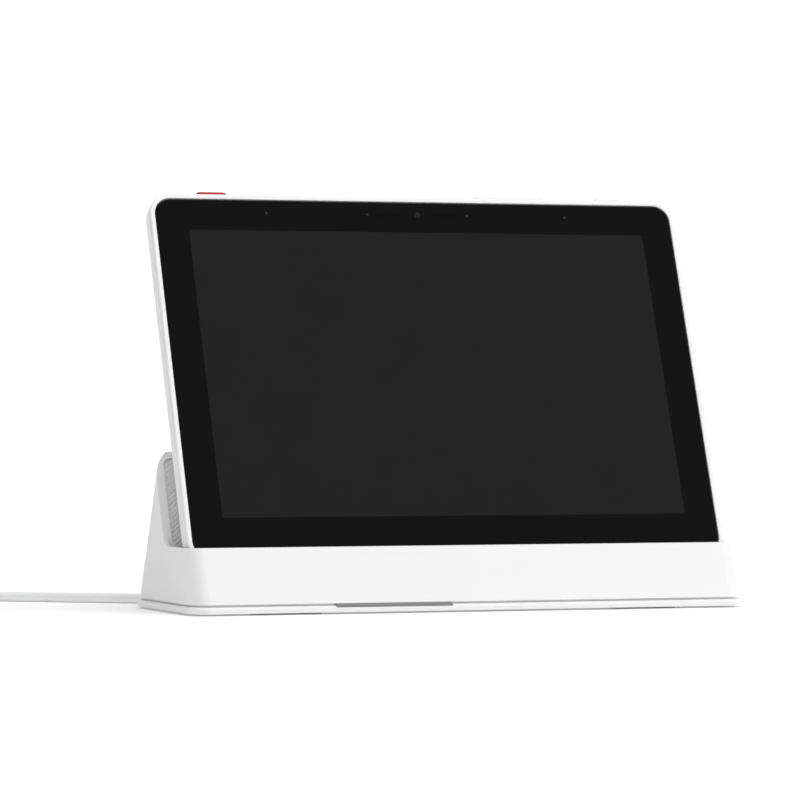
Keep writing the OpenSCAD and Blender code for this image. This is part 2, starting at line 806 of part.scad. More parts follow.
module strain_relief() color("white") {
  translate([-13.8, plug_y, socket_z]) rotate([0, -90, 0]) cylinder(r1 = 2.9, r2 = 2.15, h = -13.8 - relief_x);
}

// Unit vector
function unit(a) = a / norm(a);

// A tube along points on a route, of radius r
module cord_tube(points, r) {
  sides = 8;
  last = len(points) - 1;
  rings = [for (i = [0:last])
    let (
      along = unit(points[min(i + 1, last)] - points[max(i - 1, 0)]),
      side = unit(cross(along, [0, 0, 1])),
      rise = cross(along, side)
    )
    [for (k = [0:sides - 1]) points[i] + r * (cos(360 * k / sides) * side + sin(360 * k / sides) * rise)]];
  tube_mesh(rings, sides);
}

// Points between those of a route, so that the tube bends smoothly
function between(p) = [
  for (i = [0:len(p) - 2], t = [0, 0.5])
    let (a = p[max(i - 1, 0)], b = p[i], c = p[i + 1], d = p[min(i + 2, len(p) - 1)])
    b + 0.5 * t * (c - a + t * (2 * a - 5 * b + 4 * c - d + t * (3 * (b - c) + d - a))),
  p[len(p) - 1]
];

module cord() color("white") cord_tube(between(route), cord_r);

module cord_tail() color("white") cord_tube(between(tail), cord_r);

module cord_coil() color("white") {
  w = coil_columns * cord_d;
  h = coil_layers * cord_d;
  translate([coil_x, coil_y, tie_t]) rotate_extrude($fn = 64)
    translate([coil_mean_r, h / 2]) round_rect(w, h, cord_r - 0.01);
}

module cord_tie() color("dimgray") {
  w = coil_columns * cord_d + 0.1;
  h = coil_layers * cord_d + 0.1;
  translate([coil_x, coil_y, 0]) rotate([0, 0, tie_angle]) translate([coil_mean_r, tie_w / 2, tie_t + h / 2])
    rotate([90, 0, 0]) difference() {
      round_plate(w + 2 * tie_t, h + 2 * tie_t, tie_w, cord_r + tie_t);
      translate([0, 0, -1]) round_plate(w, h, tie_w + 2, cord_r);
    }
}

module far_plug_grip() color("white") {
  translate([-186, far_y - 6, far_z]) hull() for (x = [-6, 6], y = [-21, -2.5], z = [-1, 1])
    translate([x, y, z * 2]) sphere(2.1, $fn = 24);
  translate([-186, far_y, far_z]) rotate([90, 0, 0]) cylinder(r1 = 2.2, r2 = 3.2, h = 7);
}

module far_plug_shell() color("silver") {
  translate([-186, far_y - 29, far_z]) rotate([90, 0, 0]) difference() {
    block_centred(12, 4.5, 15);
    translate([0, 0, 1]) block_centred(11.2, 3.7, 20);
  }
}

module block_centred(w, h, t) {
  linear_extrude(t) square([w, h], center = true);
}

dock_shell();
base_plate();
backrest_pad();
cradle_liner();
contact_block();
contact_barrels();
contact_pins();
pin_springs();
contact_flex();
dock_board();
board_screws();
usb_socket();
light_window();
light_board();
ballast_plates();
dock_magnets();
feet();
base_screws();
front_frame();
cover_glass();
glass_adhesive();
screen_panel();
screen_tray();
panel_flex();
chassis_plate();
chassis_screws();
camera_module();
camera_lens();
sensor_windows();
microphones();
mic_boards();
main_board();
board_shields();
radio_board();
battery();
speaker_boxes();
speaker_drivers();
speaker_meshes();
antennas();
button_boards();
button_switches();
pad_holder();
charging_pads();
hub_magnets();
rear_cover();
cover_screws();
screw_caps();
alarm_button();
volume_rocker();
power_button();
plug_shell();
plug_grip();
strain_relief();
cord();
cord_coil();
cord_tail();
cord_tie();
far_plug_grip();
far_plug_shell();
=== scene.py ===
"""Looks of the smart home hub: detailed pieces, materials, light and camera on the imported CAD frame.

Lengths in the numbers below are millimetres; meshes are made in metres, in the row frame.
"""

import json
import math

import bmesh
import bpy
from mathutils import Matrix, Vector

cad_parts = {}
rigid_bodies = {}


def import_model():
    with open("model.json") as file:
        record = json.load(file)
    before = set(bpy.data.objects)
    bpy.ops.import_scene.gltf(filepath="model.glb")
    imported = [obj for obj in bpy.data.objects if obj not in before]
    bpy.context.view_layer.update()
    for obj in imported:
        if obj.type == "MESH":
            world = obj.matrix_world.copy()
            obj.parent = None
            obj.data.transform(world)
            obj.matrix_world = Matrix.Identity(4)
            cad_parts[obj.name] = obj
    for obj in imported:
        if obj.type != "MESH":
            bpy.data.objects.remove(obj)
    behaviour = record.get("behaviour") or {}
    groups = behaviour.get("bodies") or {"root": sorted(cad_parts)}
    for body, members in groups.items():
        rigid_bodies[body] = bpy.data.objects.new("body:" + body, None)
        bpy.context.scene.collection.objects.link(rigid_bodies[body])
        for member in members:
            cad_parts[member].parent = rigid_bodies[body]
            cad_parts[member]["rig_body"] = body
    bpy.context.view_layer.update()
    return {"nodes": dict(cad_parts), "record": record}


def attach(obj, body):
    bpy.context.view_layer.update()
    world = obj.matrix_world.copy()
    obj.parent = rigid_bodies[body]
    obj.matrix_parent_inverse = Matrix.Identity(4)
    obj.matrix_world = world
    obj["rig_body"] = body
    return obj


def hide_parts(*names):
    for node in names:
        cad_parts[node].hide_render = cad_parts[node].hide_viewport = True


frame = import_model()
NODES = frame["nodes"]
MM = 0.001

# The screen's frame, as in part.scad: u right, v up along the screen, w towards the viewer
TILT = math.radians(21.4)
UP = Vector((0, math.sin(TILT), math.cos(TILT)))
OUT = Vector((0, -math.cos(TILT), math.sin(TILT)))
CENTRE = Vector((0, 1, 82.9))
HUB_W, HUB_H, MID_V, HUB_T = 199.4, 137.7, -1.35, 19.2
RIM, GLASS_R, PROUD = 1.95, 6, 0.25
HUB_R = GLASS_R + RIM
GLASS_W = HUB_W - 2 * RIM
GLASS_H = HUB_H - 2 * RIM - 0.3
TOP_V = MID_V + HUB_H / 2
LIT_W, LIT_H = 172.2, 107.6

# Along the border above the screen, and in the top edge as node: (middle, length)
BEZEL_V = 60.6
MICROPHONE_U = (-56.75, -19, 19, 56.75)
SENSOR_U = 11.2
BUTTONS = {"alarm_button": (-75.5, 11.3), "volume_rocker": (37.4, 27.1), "power_button": (75.6, 10.8)}


def on_screen(u, v, w):
    """The row frame's point at a place in the screen's frame."""
    return CENTRE + Vector((u, 0, 0)) + v * UP + w * OUT


def linked(name, data):
    """A new object in the scene."""
    obj = bpy.data.objects.new(name, data)
    bpy.context.scene.collection.objects.link(obj)
    return obj


# ---------------------------------------------------------------- camera
camera = linked("camera", bpy.data.cameras.new("camera"))
camera.location = (-0.53881, -1.45882, 0.07316)
camera.rotation_euler = (math.radians(90), 0, math.radians(-19.757))
camera.data.lens = 198.25
camera.data.sensor_width = 36
camera.data.clip_start = 0.01
bpy.context.scene.camera = camera


# ---------------------------------------------------------------- materials
def tree(name):
    """A new node material with its nodes, links and shader."""
    mat = bpy.data.materials.new(name)
    mat.use_nodes = True
    nodes, links = mat.node_tree.nodes, mat.node_tree.links
    return mat, nodes, links, nodes["Principled BSDF"]


def noise(nodes, links, scale, detail, stretch=None):
    """Noise over the object's own coordinates, stretched along an axis where asked."""
    coord = nodes.new("ShaderNodeTexCoord")
    texture = nodes.new("ShaderNodeTexNoise")
    texture.inputs["Scale"].default_value = scale
    texture.inputs["Detail"].default_value = detail
    source = coord.outputs["Object"]
    if stretch:
        mapping = nodes.new("ShaderNodeMapping")
        mapping.inputs["Scale"].default_value = stretch
        links.new(source, mapping.inputs["Vector"])
        source = mapping.outputs["Vector"]
    links.new(source, texture.inputs["Vector"])
    return texture.outputs["Fac"]


def ranged(nodes, links, fac, low, high):
    """The middle of a noise spread over a range."""
    node = nodes.new("ShaderNodeMapRange")
    node.inputs["From Min"].default_value = 0.3
    node.inputs["From Max"].default_value = 0.7
    node.inputs["To Min"].default_value = low
    node.inputs["To Max"].default_value = high
    links.new(fac, node.inputs["Value"])
    return node.outputs["Result"]


def material(name, colour, rough, grain=2600, bump=0.02, mottle=0.02, patch=45, stretch=None, **sockets):
    """A surface with slow colour variation, uneven gloss and a fine grain."""
    mat, nodes, links, shader = tree(name)
    slow = noise(nodes, links, patch, 3)
    mix = nodes.new("ShaderNodeMix")
    mix.data_type = "RGBA"
    mix.inputs["A"].default_value = [c * (1 - mottle) for c in colour] + [1]
    mix.inputs["B"].default_value = [min(1, c * (1 + mottle)) for c in colour] + [1]
    links.new(ranged(nodes, links, slow, 0, 1), mix.inputs["Factor"])
    links.new(mix.outputs["Result"], shader.inputs["Base Color"])
    fine = noise(nodes, links, grain, 2, stretch)
    links.new(ranged(nodes, links, fine, rough * 0.9, min(1, rough * 1.1)), shader.inputs["Roughness"])
    relief = nodes.new("ShaderNodeBump")
    relief.inputs["Strength"].default_value = bump
    relief.inputs["Distance"].default_value = 0.0002
    links.new(fine, relief.inputs["Height"])
    links.new(relief.outputs["Normal"], shader.inputs["Normal"])
    for socket, value in sockets.items():
        shader.inputs[socket.replace("_", " ")].default_value = value
    return mat


def cloth(name, colour, pitch):
    """A fine woven mesh: two crossed waves as relief and colour."""
    mat, nodes, links, shader = tree(name)
    coord = nodes.new("ShaderNodeTexCoord")
    waves = []
    for direction in ("X", "Z"):
        wave = nodes.new("ShaderNodeTexWave")
        wave.bands_direction = direction
        wave.inputs["Scale"].default_value = 0.314 / (pitch * MM)
        links.new(coord.outputs["Object"], wave.inputs["Vector"])
        waves.append(wave.outputs["Fac"])
    both = nodes.new("ShaderNodeMath")
    both.operation = "MAXIMUM"
    links.new(waves[0], both.inputs[0])
    links.new(waves[1], both.inputs[1])
    ramp = nodes.new("ShaderNodeValToRGB")
    ramp.color_ramp.elements[0].color = (0, 0, 0, 1)
    ramp.color_ramp.elements[1].color = (*colour, 1)
    links.new(both.outputs[0], ramp.inputs["Fac"])
    links.new(ramp.outputs["Color"], shader.inputs["Base Color"])
    relief = nodes.new("ShaderNodeBump")
    relief.inputs["Distance"].default_value = 0.0002
    links.new(both.outputs[0], relief.inputs["Height"])
    links.new(relief.outputs["Normal"], shader.inputs["Normal"])
    shader.inputs["Roughness"].default_value = 0.8
    return mat


def board(name):
    """A green circuit board with lighter tracks."""
    mat, nodes, links, shader = tree(name)
    coord = nodes.new("ShaderNodeTexCoord")
    brick = nodes.new("ShaderNodeTexBrick")
    brick.inputs["Scale"].default_value = 160
    brick.inputs["Mortar Size"].default_value = 0.06
    brick.inputs["Color1"].default_value = (0.01, 0.11, 0.05, 1)
    brick.inputs["Color2"].default_value = (0.012, 0.13, 0.06, 1)
    brick.inputs["Mortar"].default_value = (0.04, 0.24, 0.1, 1)
    links.new(coord.outputs["Object"], brick.inputs["Vector"])
    links.new(brick.outputs["Color"], shader.inputs["Base Color"])
    shader.inputs["Roughness"].default_value = 0.35
    return mat


WHITE = dict(grain=2400, bump=0.035, mottle=0.006)
MATS = {
    "dock_plastic": material("dock_plastic", (0.86, 0.86, 0.865), 0.5, **WHITE),
    "frame_plastic": material("frame_plastic", (0.87, 0.87, 0.875), 0.48, **WHITE),
    "button_plastic": material("button_plastic", (0.88, 0.88, 0.885), 0.42, **WHITE),
    "cord_jacket": material("cord_jacket", (0.88, 0.88, 0.885), 0.45, grain=1800, bump=0.03, mottle=0.01),
    "alarm_red": material("alarm_red", (0.45, 0.006, 0.012), 0.38, grain=2400, bump=0.02, mottle=0.02,
                          Specular_IOR_Level=0.3),
    "pad_rubber": material("pad_rubber", (0.8, 0.8, 0.805), 0.7, grain=3000, bump=0.08, mottle=0.02),
    "liner_rubber": material("liner_rubber", (0.55, 0.55, 0.555), 0.75, grain=3000, bump=0.08, mottle=0.02),
    "foot_rubber": material("foot_rubber", (0.09, 0.09, 0.095), 0.85, grain=2500, bump=0.12, mottle=0.05),
    "tie_band": material("tie_band", (0.03, 0.03, 0.032), 0.8, grain=3200, bump=0.3, mottle=0.1),
    # light_diffuser: its dark grey is partly a smoked diffuser's own colour and partly painted shade of the recessed
    # front slot
    "light_diffuser": material("light_diffuser", (0.27, 0.27, 0.275), 0.45, grain=2000, bump=0.04, mottle=0.02),
    "dark_plastic": material("dark_plastic", (0.045, 0.045, 0.048), 0.5, bump=0.05, mottle=0.05),
    "adhesive": material("adhesive", (0.02, 0.02, 0.02), 0.9, bump=0.2, mottle=0.1),
    "cover_glass": material("cover_glass", (0.0032, 0.0032, 0.0034), 0.07, grain=90, bump=0.001, mottle=0.03,
                            Specular_IOR_Level=0.12),
    "lit_area": material("lit_area", (0.013, 0.013, 0.0135), 0.07, grain=90, bump=0.001, mottle=0.03,
                         Specular_IOR_Level=0.12),
    "display_panel": material("display_panel", (0.015, 0.015, 0.017), 0.3, mottle=0.05),
    "camera_black": material("camera_black", (0.0032, 0.0032, 0.0035), 0.1, mottle=0.05, bump=0.005,
                             Specular_IOR_Level=0.1),
    "camera_glass": material("camera_glass", (0.012, 0.012, 0.015), 0.06, mottle=0.2, patch=900, bump=0.001,
                             Specular_IOR_Level=0.25),
    "flex_circuit": material("flex_circuit", (0.45, 0.2, 0.05), 0.35, mottle=0.1, patch=300),
    "battery_wrap": material("battery_wrap", (0.02, 0.02, 0.022), 0.35, mottle=0.1, bump=0.05),
    "spring_steel": material("spring_steel", (0.62, 0.62, 0.64), 0.3, mottle=0.03, stretch=(1, 1, 0.03), Metallic=1.0),
    "weight_steel": material("weight_steel", (0.5, 0.5, 0.51), 0.4, mottle=0.05, Metallic=1.0),
    "tray_metal": material("tray_metal", (0.66, 0.66, 0.67), 0.35, mottle=0.03, stretch=(0.03, 1, 1), Metallic=1.0),
    "chassis_metal": material("chassis_metal", (0.6, 0.6, 0.61), 0.5, grain=1500, bump=0.15, Metallic=1.0),
    "gold_contact": material("gold_contact", (0.8, 0.55, 0.2), 0.2, mottle=0.03, Metallic=1.0),
    "circuit_board": board("circuit_board"),
    "mesh_cloth": cloth("mesh_cloth", (0.05, 0.05, 0.05), 0.6),
}
for part in frame["record"]["subparts"]:
    data = NODES[part["node"]].data
    data.materials.clear()
    data.materials.append(MATS[part["material_slot"]])


# ---------------------------------------------------------------- mesh helpers
def face_outwards(mesh):
    loose = bmesh.new()
    loose.from_mesh(mesh)
    bmesh.ops.recalc_face_normals(loose, faces=loose.faces)
    loose.to_mesh(mesh)
    loose.free()


def joined(shells):
    """Verts and faces of several shells as one mesh."""
    verts, faces = [], []
    for points, sides in shells:
        faces += [[i + len(verts) for i in side] for side in sides]
        verts += points
    return verts, faces


def piece(name, body, slot, verts, faces, replaces=(), indices=None):
    """A new piece from millimetre points: it rides on a body and stands for CAD nodes."""
    mesh = bpy.data.meshes.new(name)
    mesh.from_pydata([tuple(v * MM) for v in verts], [], faces)
    mesh.materials.append(MATS[slot])
    if indices:
        mesh.materials.append(MATS[indices[0]])
        for face in indices[1]:
            mesh.polygons[face].material_index = 1
    face_outwards(mesh)
    obj = linked(name, mesh)
    settle(obj, body, replaces)
    return obj


def settle(obj, body, replaces):
    """A piece's body and the CAD nodes that it stands for."""
    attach(obj, body)
    if replaces:
        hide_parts(*replaces)


def apply_modifiers(obj):
    """Makes what the modifiers show the piece's own mesh."""
    graph = bpy.context.evaluated_depsgraph_get()
    old = obj.data
    obj.data = bpy.data.meshes.new_from_object(obj.evaluated_get(graph))
    obj.modifiers.clear()
    bpy.data.meshes.remove(old)


def rounded(obj, width, segments=3, angle=35):
    """Rounds the sharp edges, in millimetres, and shades the rest smoothly."""
    for polygon in obj.data.polygons:
        polygon.use_smooth = True
    bevel = obj.modifiers.new("bevel", "BEVEL")
    bevel.width = width * MM
    bevel.segments = segments
    bevel.limit_method = "ANGLE"
    bevel.angle_limit = math.radians(angle)
    bevel.miter_outer = "MITER_ARC"
    normals = obj.modifiers.new("normals", "WEIGHTED_NORMAL")
    normals.keep_sharp = True
    apply_modifiers(obj)
    return obj


def cut(obj, cutters, overlapping=False):
    """Takes closed boxes and prisms out of a piece. Overlapping says that the piece's own shells overlap."""
    verts, faces = joined(cutters)
    mesh = bpy.data.meshes.new("cutter")
    mesh.from_pydata([tuple(v * MM) for v in verts], [], faces)
    face_outwards(mesh)
    cutter = linked("cutter", mesh)
    boolean = obj.modifiers.new("cut", "BOOLEAN")
    boolean.operation = "DIFFERENCE"
    boolean.solver = "EXACT"
    boolean.use_self = overlapping
    boolean.object = cutter
    bpy.context.view_layer.update()
    apply_modifiers(obj)
    bpy.data.objects.remove(cutter)
    return obj


def outline(width, height, radius, n=10):
    """Points round a rectangle with round corners; radius is one number or four, from the upper right."""
    radii = radius if isinstance(radius, tuple) else (radius,) * 4
    points = []
    for corner, (sx, sy) in enumerate(((1, 1), (-1, 1), (-1, -1), (1, -1))):
        r = radii[corner]
        for i in range(n + 1):
            a = math.radians(90 * corner + 90 * i / n)
            points.append((sx * (width / 2 - r) + r * math.cos(a), sy * (height / 2 - r) + r * math.sin(a)))
    return points


def skin(rings, closed=False):
    """Verts and faces of a surface through rings of points, closed round on itself or capped."""
    n, count = len(rings[0]), len(rings)
    verts = [p for ring in rings for p in ring]
    faces = []
    for i in range(count if closed else count - 1):
        a, b = i * n, (i + 1) % count * n
        faces += [(a + k, a + (k + 1) % n, b + (k + 1) % n, b + k) for k in range(n)]
    if not closed:
        faces += [tuple(range(n)), tuple(range(count * n - n, count * n))]
    return verts, faces


def screen_ring(inset, w, width=HUB_W, height=HUB_H, radius=HUB_R, mid=(0, MID_V), n=12):
    """A ring of points round a plate in the screen's frame, pulled in by inset, at depth w."""
    r = max(radius - inset, 0.4)
    return [on_screen(x + mid[0], y + mid[1], w) for x, y in outline(width - 2 * inset, height - 2 * inset, r, n)]


def arc(inset, w, r, start, end, n=4):
    """Profile points (inset, w) on an arc round a centre, angles in degrees."""
    steps = [math.radians(start + (end - start) * i / n) for i in range(n + 1)]
    return [(inset + r * math.cos(a), w + r * math.sin(a)) for a in steps]


def screen_plate(name, body, slot, low, high, width, height, radius, mid, edge=0.15, replaces=(), n=8):
    """A plate in the screen's frame with rounded edges."""
    profile = [(edge, low), *arc(edge, low + edge, edge, 270, 180, 3)[1:], *arc(edge, high - edge, edge, 180, 90, 3)]
    rings = [screen_ring(i, w, width, height, radius, mid, n) for i, w in profile]
    return piece(name, body, slot, *skin(rings), replaces)


def box_cutter(low, high, place=lambda x, y, z: Vector((x, y, z))):
    """A box between two corners, in the row frame or in the one that place gives."""
    corners = [place(*(high[k] if i >> k & 1 else low[k] for k in range(3))) for i in range(8)]
    return corners, [(0, 1, 3, 2), (4, 6, 7, 5), (0, 4, 5, 1), (2, 3, 7, 6), (0, 2, 6, 4), (1, 5, 7, 3)]


def disc_cutter(u, v, low, high, r, n=24):
    """A round cutter square to the screen, from one depth to another."""
    rings = [[on_screen(u + r * math.cos(2 * math.pi * i / n), v + r * math.sin(2 * math.pi * i / n), w)
              for i in range(n)] for w in (low, high)]
    return skin(rings)


def cad_copy(node, width, segments=3, angle=35):
    """A copy of a CAD node with its edges rounded, which stands for the node."""
    source = NODES[node]
    obj = linked(node + "_rounded", source.data.copy())
    mesh = bmesh.new()
    mesh.from_mesh(obj.data)
    bmesh.ops.remove_doubles(mesh, verts=mesh.verts, dist=2e-6)
    bmesh.ops.dissolve_limit(mesh, angle_limit=math.radians(0.4), verts=mesh.verts, edges=mesh.edges)
    mesh.to_mesh(obj.data)
    mesh.free()
    for attribute in [a.name for a in obj.data.attributes if a.name == "custom_normal"]:
        obj.data.attributes.remove(obj.data.attributes[attribute])
    rounded(obj, width, segments, angle)
    settle(obj, source["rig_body"], [node])
    return obj


# ---------------------------------------------------------------- cable
# Plug to coil, round the coil, and from the coil to the far plug: the same route as in part.scad
ROUTE = [
    (-29, 38.5, 8.5), (-33, 38.5, 8.4), (-37, 38.7, 7.6), (-41, 39.2, 6.1), (-45, 39.9, 4.4),
    (-49, 40.8, 2.9), (-53, 42, 2), (-58, 43.8, 1.8), (-64, 46.4, 1.8), (-71, 50, 1.8),
    (-78, 54.1, 1.8), (-86, 59.4, 1.8), (-94, 65.2, 1.8), (-104, 73.2, 1.8), (-114, 81.2, 1.8),
    (-124, 89.2, 1.8), (-134, 97.3, 1.8), (-143, 104.6, 2.3),
]
TAIL = [
    (-186, 87, 13.4), (-186, 81, 13.4), (-186, 77, 13), (-186, 73, 11.9), (-186, 69, 10.2),
    (-186, 65, 8.3), (-186, 61, 6.5), (-186, 57, 5.1), (-186, 53, 4.4), (-186, 50, 4.2),
]
CORD_D = 3.6
COIL = Vector((-166, 93, 0))
COIL_START, COIL_TURNS, PER_TURN = 51, 10 + 129 / 360, 24


def coil_slot(turn):
    """Radius and height of one turn of the coil: three columns, wound up and down in layers."""
    layer, k = divmod(turn, 3)
    column = k if layer % 2 == 0 else 2 - k
    return 23.6 - CORD_D * column, 2.6 + CORD_D * layer


def coil_point(t):
    """The cord's middle after t turns: it steps across to the next slot near the end of each turn."""
    turn = min(int(t), int(COIL_TURNS))
    blend = max(0, (t - turn - 0.84) / 0.16)
    blend = blend * blend * (3 - 2 * blend)
    (r0, z0), (r1, z1) = coil_slot(turn), coil_slot(turn + 1)
    a = math.radians(COIL_START + 360 * t)
    r, z = r0 + (r1 - r0) * blend, z0 + (z1 - z0) * blend
    return COIL + Vector((r * math.cos(a), r * math.sin(a), z))


def smooth(points, per):
    """Points on a curve through all the given ones, per of them on each stretch."""
    out = []
    for i in range(len(points) - 1):
        a, b, c, d = (points[max(0, min(len(points) - 1, i + k))] for k in (-1, 0, 1, 2))
        for s in range(per):
            t = s / per
            out.append(b + 0.5 * t * (c - a + t * (2 * a - 5 * b + 4 * c - d + t * (3 * (b - c) + d - a))))
    return out + [points[-1]]


steps = int(COIL_TURNS * PER_TURN)
wound = [coil_point(COIL_TURNS * i / steps) for i in range(steps + 1)]
line = smooth([Vector(p) for p in ROUTE] + wound + [Vector(p) for p in TAIL], 3)
line = [p * MM for p in line]
curve = bpy.data.curves.new("cable", "CURVE")
curve.dimensions = "3D"
curve.bevel_depth = CORD_D / 2 * MM
curve.bevel_resolution = 5
spline = curve.splines.new("POLY")
spline.points.add(len(line) - 1)
for point, at in zip(spline.points, line):
    point.co = (*at, 1)
spline.use_smooth = True
curve.materials.append(MATS["cord_jacket"])
cable = linked("cable", curve)
settle(cable, "dock", ["cord", "cord_coil", "cord_tail"])
relief = cad_copy("strain_relief", 0.25)
near_plug = [cad_copy("plug_grip", 0.9, 4), cad_copy("plug_shell", 0.15)]
far_plug = [cad_copy("far_plug_grip", 0.2, 2, 50), cad_copy("far_plug_shell", 0.15)]
tie = cad_copy("cord_tie", 0.25)

# ---------------------------------------------------------------- hub
# Front frame: one profile of rim, tongue and skirt, swept round the hub
PART_W, GROOVE = -1.0, 0.35
SEAM_W = -0.6  # the rim's rear edge as it shows in the seam
rim_profile = [
    *arc(0.28, SEAM_W + 0.28, 0.28, 270, 180), *arc(0.6, PROUD - 0.6, 0.6, 180, 90, 6),
    *arc(RIM - 0.4, PROUD - 0.25, 0.25, 90, 0, 4), (RIM - 0.15, -1.11), (2.55, -1.11), (2.55, -1.3), (6.7, -1.3),
    (6.7, -2), (3.2, -2), (3.2, -5), (1.7, -5), (1.7, -1.3), (0.9, -1.3), (0.9, SEAM_W),
]
rings = [screen_ring(i, w) for i, w in rim_profile]
rim = piece("front_rim", "hub", "frame_plastic", *skin(rings, closed=True), ["front_frame"])
cut(rim, [box_cutter((u - size / 2 - 1.8, 61, -6), (u + size / 2 + 1.8, 66.45, -1.3), on_screen)
          for u, size in BUTTONS.values()])
rounded(rim, 0.05, 1, 60)

# Cover glass: rounded edge, and the lit area as its own faces
glass_profile = [(0.15, -1.1), *arc(0.35, -0.35, 0.35, 180, 90, 5)]
rings = [screen_ring(i, w, GLASS_W, GLASS_H, GLASS_R) for i, w in glass_profile]
rings.append([on_screen(x, y, 0) for x, y in outline(LIT_W, LIT_H, 0.5, 12)])
verts, faces = skin(rings)
glass = piece("cover_glass_panel", "hub", "cover_glass", verts, faces, ["cover_glass"], ("lit_area", [len(faces) - 1]))
cut(glass, [disc_cutter(u, BEZEL_V, -3, 1, 0.5, 16) for u in MICROPHONE_U])
rounded(glass, 0.08, 2, 50)

# Sensor windows, camera and microphones in the glass
for name, u in (("sensor_left", -SENSOR_U), ("sensor_right", SENSOR_U)):
    screen_plate(name, "hub", "camera_black", -0.02, 0.02, 10, 2.2, 1.09, (u, BEZEL_V), 0.02)
screen_plate("camera_ring", "hub", "camera_black", -0.02, 0.02, 3.7, 3.7, 1.84, (0, BEZEL_V), 0.02)
screen_plate("camera_front", "hub", "camera_glass", -0.02, 0.035, 2.3, 2.3, 1.14, (0, BEZEL_V), 0.02)
for i, u in enumerate(MICROPHONE_U):
    screen_plate(f"microphone_mesh_{i + 1}", "hub", "adhesive", -0.5, -0.1, 1.04, 1.04, 0.51, (u, BEZEL_V), 0.05)

# Rear cover: straight side, round shoulder, flat back, cut by slots
SHOULDER_W, SHOULDER_IN = -3.5, 16


def shoulder(w):
    """How far the cover's outside is drawn in at depth w."""
    if w > SHOULDER_W:
        return 0.02 * (PART_W - w)
    along = (w - SHOULDER_W) / (-HUB_T - SHOULDER_W)
    return 0.02 * (PART_W - SHOULDER_W) + SHOULDER_IN * (1 - math.sqrt(max(0, 1 - along ** 2)))


def cover_rings(wall, rear, depths):
    """Rings of the cover's outside, or of its inside a wall further in, with its back at depth rear."""
    rings = []
    for w in depths:
        at = w if w > SHOULDER_W else SHOULDER_W + (w - SHOULDER_W) * (-HUB_T - SHOULDER_W) / (rear - SHOULDER_W)
        drawn = shoulder(at)
        width, height = HUB_W - 2 * (wall + drawn), HUB_H - 2 * (wall + drawn)
        r = max(HUB_R - wall - 0.45 * drawn, 2.5)
        rings.append([on_screen(x, y + MID_V, w) for x, y in outline(width, height, r, 12)])
    return rings


def depths(rear, front, n=20):
    """Depths from the back to the front, closest together round the shoulder."""
    return [SHOULDER_W + (rear - SHOULDER_W) * math.sin(math.pi / 2 * i / n) for i in range(n, -1, -1)] + [front]


WALL = 1.4
SPEAKER_U, SPEAKER_V = 70, -16
CAP_U, CAP_V = 82, (-52, 48)
front = PART_W - GROOVE
outer = cover_rings(0, -HUB_T, depths(-HUB_T, SEAM_W - 0.6))
lip_profile = [*arc(0.3, SEAM_W - 0.6, 0.3, 170, 90, 3), (0.85, SEAM_W - 0.3), (0.85, front)]
lip = [screen_ring(i, w) for i, w in lip_profile]
inner = cover_rings(WALL, -HUB_T + WALL, depths(-HUB_T + WALL, front))[::-1]
cover = piece("rear_shell", "hub", "frame_plastic", *skin(outer + lip + inner), ["rear_cover"])
cutters = []
for side in (-1, 1):
    for row in range(-4, 5):
        half = 11 * math.sqrt(1 - (row / 5) ** 2)
        mid = (side * SPEAKER_U, SPEAKER_V + 2.4 * row)
        cutters.append(skin([screen_ring(0, w, 2 * half, 1, 0.49, mid, 5) for w in (-30, -15)]))
    cutters += [disc_cutter(side * CAP_U, v, -30, -17.2, 3) for v in CAP_V]
for u, size in BUTTONS.values():
    low, high = (u - size / 2 - 0.25, TOP_V - 5, -5.05), (u + size / 2 + 0.25, TOP_V + 3, -0.3)
    cutters.append(box_cutter(low, high, on_screen))
cut(cover, cutters)
rounded(cover, 0.15, 2, 50)

# Buttons
BUTTON_W, BUTTON_T, BUTTON_TOP, FLANGE_TOP = -3.2, 3.2, TOP_V + 1.8, 65.65


def edge_button(node, slot, stems, dimple=False):
    """A button in the top edge: rounded cap, flange under the slot and stems."""
    u, length = BUTTONS[node]

    def ring(width, depth, radius, v, n=8, at=u):
        return [on_screen(at + x, v, BUTTON_W + y) for x, y in outline(width, depth, radius, n)]

    cap = [(0, FLANGE_TOP - 0.2)] + arc(0.85, BUTTON_TOP - 0.85, 0.85, 180, 90, 8)
    shells = [skin([ring(length - 2 * i, BUTTON_T - 2 * i, max(1.3 - 0.6 * i, 0.5), v) for i, v in cap])]
    flange = ((0, FLANGE_TOP - 0.7), (0, FLANGE_TOP))
    shells.append(skin([ring(length + 2 - 2 * i, 2.4 - 2 * i, 0.4, v) for i, v in flange]))
    for du in stems:
        shells.append(skin([ring(2.4, 2, 0.3, v, 3, u + du) for v in (FLANGE_TOP - 1.95, FLANGE_TOP - 0.6)]))
    button = piece(node + "_cap", node, slot, *joined(shells), [node])
    if dimple:
        cut(button, [skin([ring(1.1, 1.1, 0.54, v, 5) for v in (BUTTON_TOP - 0.3, BUTTON_TOP + 1)])], True)
    rounded(button, 0.12, 2, 40)


edge_button("alarm_button", "alarm_red", [0])
edge_button("volume_rocker", "button_plastic", [-9, 9], True)
edge_button("power_button", "button_plastic", [0])

# ---------------------------------------------------------------- dock
BASE_W, BASE_D = 205, 74
cad_copy("dock_shell", 0.5, 3, 30)


def plate_ring(inset, z):
    """A ring of points round the base plate, pulled in by inset, at height z."""
    front_r, back_r = max(7 - inset, 2), max(9 - inset, 2)
    corners = (back_r, back_r, front_r, front_r)
    return [Vector((x, y, z)) for x, y in outline(BASE_W - 2 * inset, BASE_D - 2 * inset, corners, 12)]


